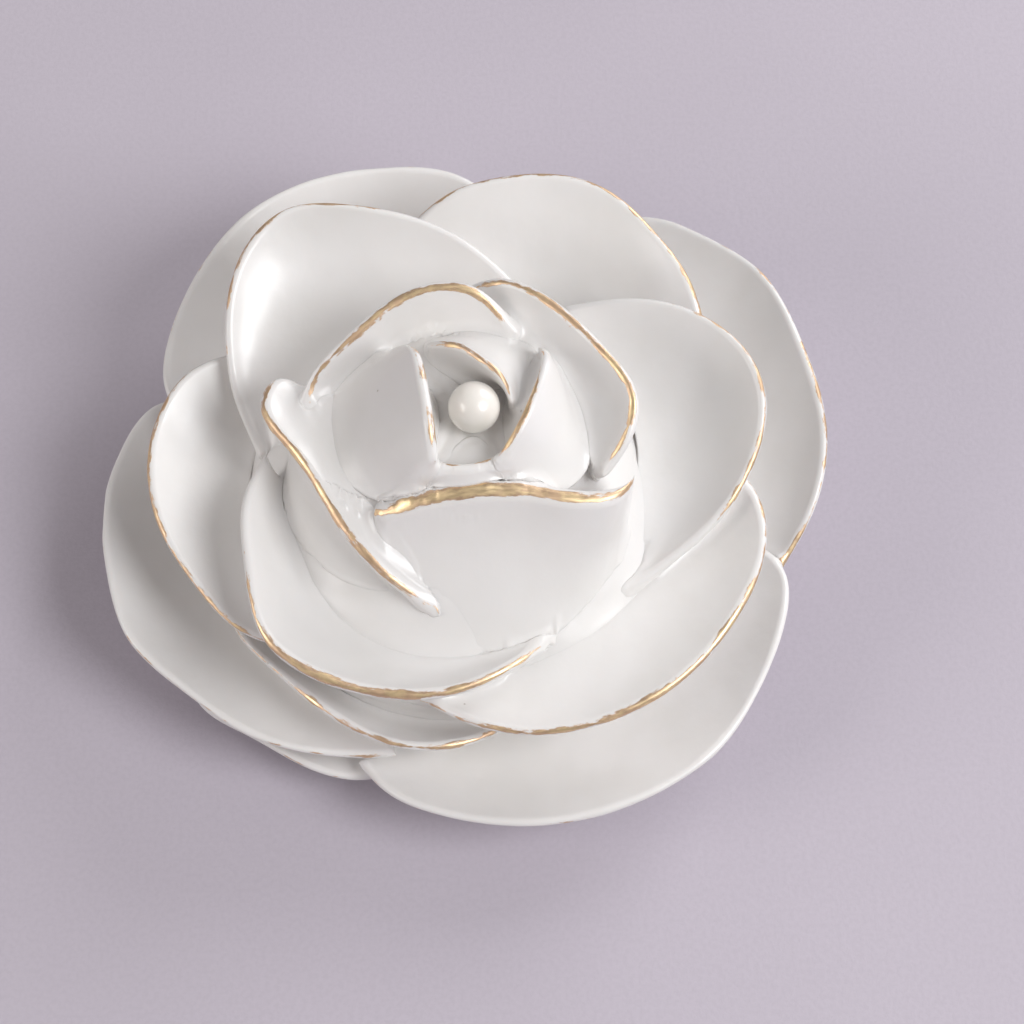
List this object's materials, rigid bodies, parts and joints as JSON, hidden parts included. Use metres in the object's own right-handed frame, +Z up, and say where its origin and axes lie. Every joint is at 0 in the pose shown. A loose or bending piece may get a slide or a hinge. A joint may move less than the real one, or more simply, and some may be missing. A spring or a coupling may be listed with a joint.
{
  "type": "porcelain rose trinket box",
  "caption": "Round trinket box shaped as an open rose: a footed bowl and a lift-off domed lid, both dressed with gilt-edged petals, with a pearl at the heart.",
  "frame": {"origin": "on the table, under the middle of the flower", "axes": "+Z up, -Y towards the viewer the flower faces, +X to that viewer's right"},
  "size_m": [0.1018, 0.0982, 0.0489],
  "materials": {
    "glazed_porcelain": "white glazed porcelain with worn gilding brushed along the petals' edges",
    "pearl": "cream-white pearl with a soft nacre sheen",
    "brass_pin": "plain drawn brass wire"
  },
  "bodies": {
    "base": {"base_bowl": "glazed_porcelain", "base_petal_front_left_inner": "glazed_porcelain", "base_petal_right": "glazed_porcelain", "base_petal_back_left": "glazed_porcelain", "base_petal_back": "glazed_porcelain", "base_petal_left": "glazed_porcelain", "base_petal_front": "glazed_porcelain", "base_petal_under_left": "glazed_porcelain"},
    "lid": {"lid_dome": "glazed_porcelain", "bud_petal_front": "glazed_porcelain", "bud_petal_left": "glazed_porcelain", "bud_petal_right": "glazed_porcelain", "bud_petal_back": "glazed_porcelain", "inner_petal_back_left": "glazed_porcelain", "inner_petal_right": "glazed_porcelain", "inner_petal_left": "glazed_porcelain", "inner_petal_front": "glazed_porcelain", "lid_petal_back_left": "glazed_porcelain", "lid_petal_back": "glazed_porcelain", "lid_petal_right": "glazed_porcelain", "lid_petal_front_left": "glazed_porcelain", "lid_petal_left": "glazed_porcelain", "lid_petal_front_right": "glazed_porcelain", "pearl": "pearl", "pearl_peg": "brass_pin"}
  },
  "joints": [
    {"name": "lid_lift", "type": "slide", "parent": "base", "child": "lid", "axis": [0, 0, 1], "range_m": [0, 0.06]}
  ]
}
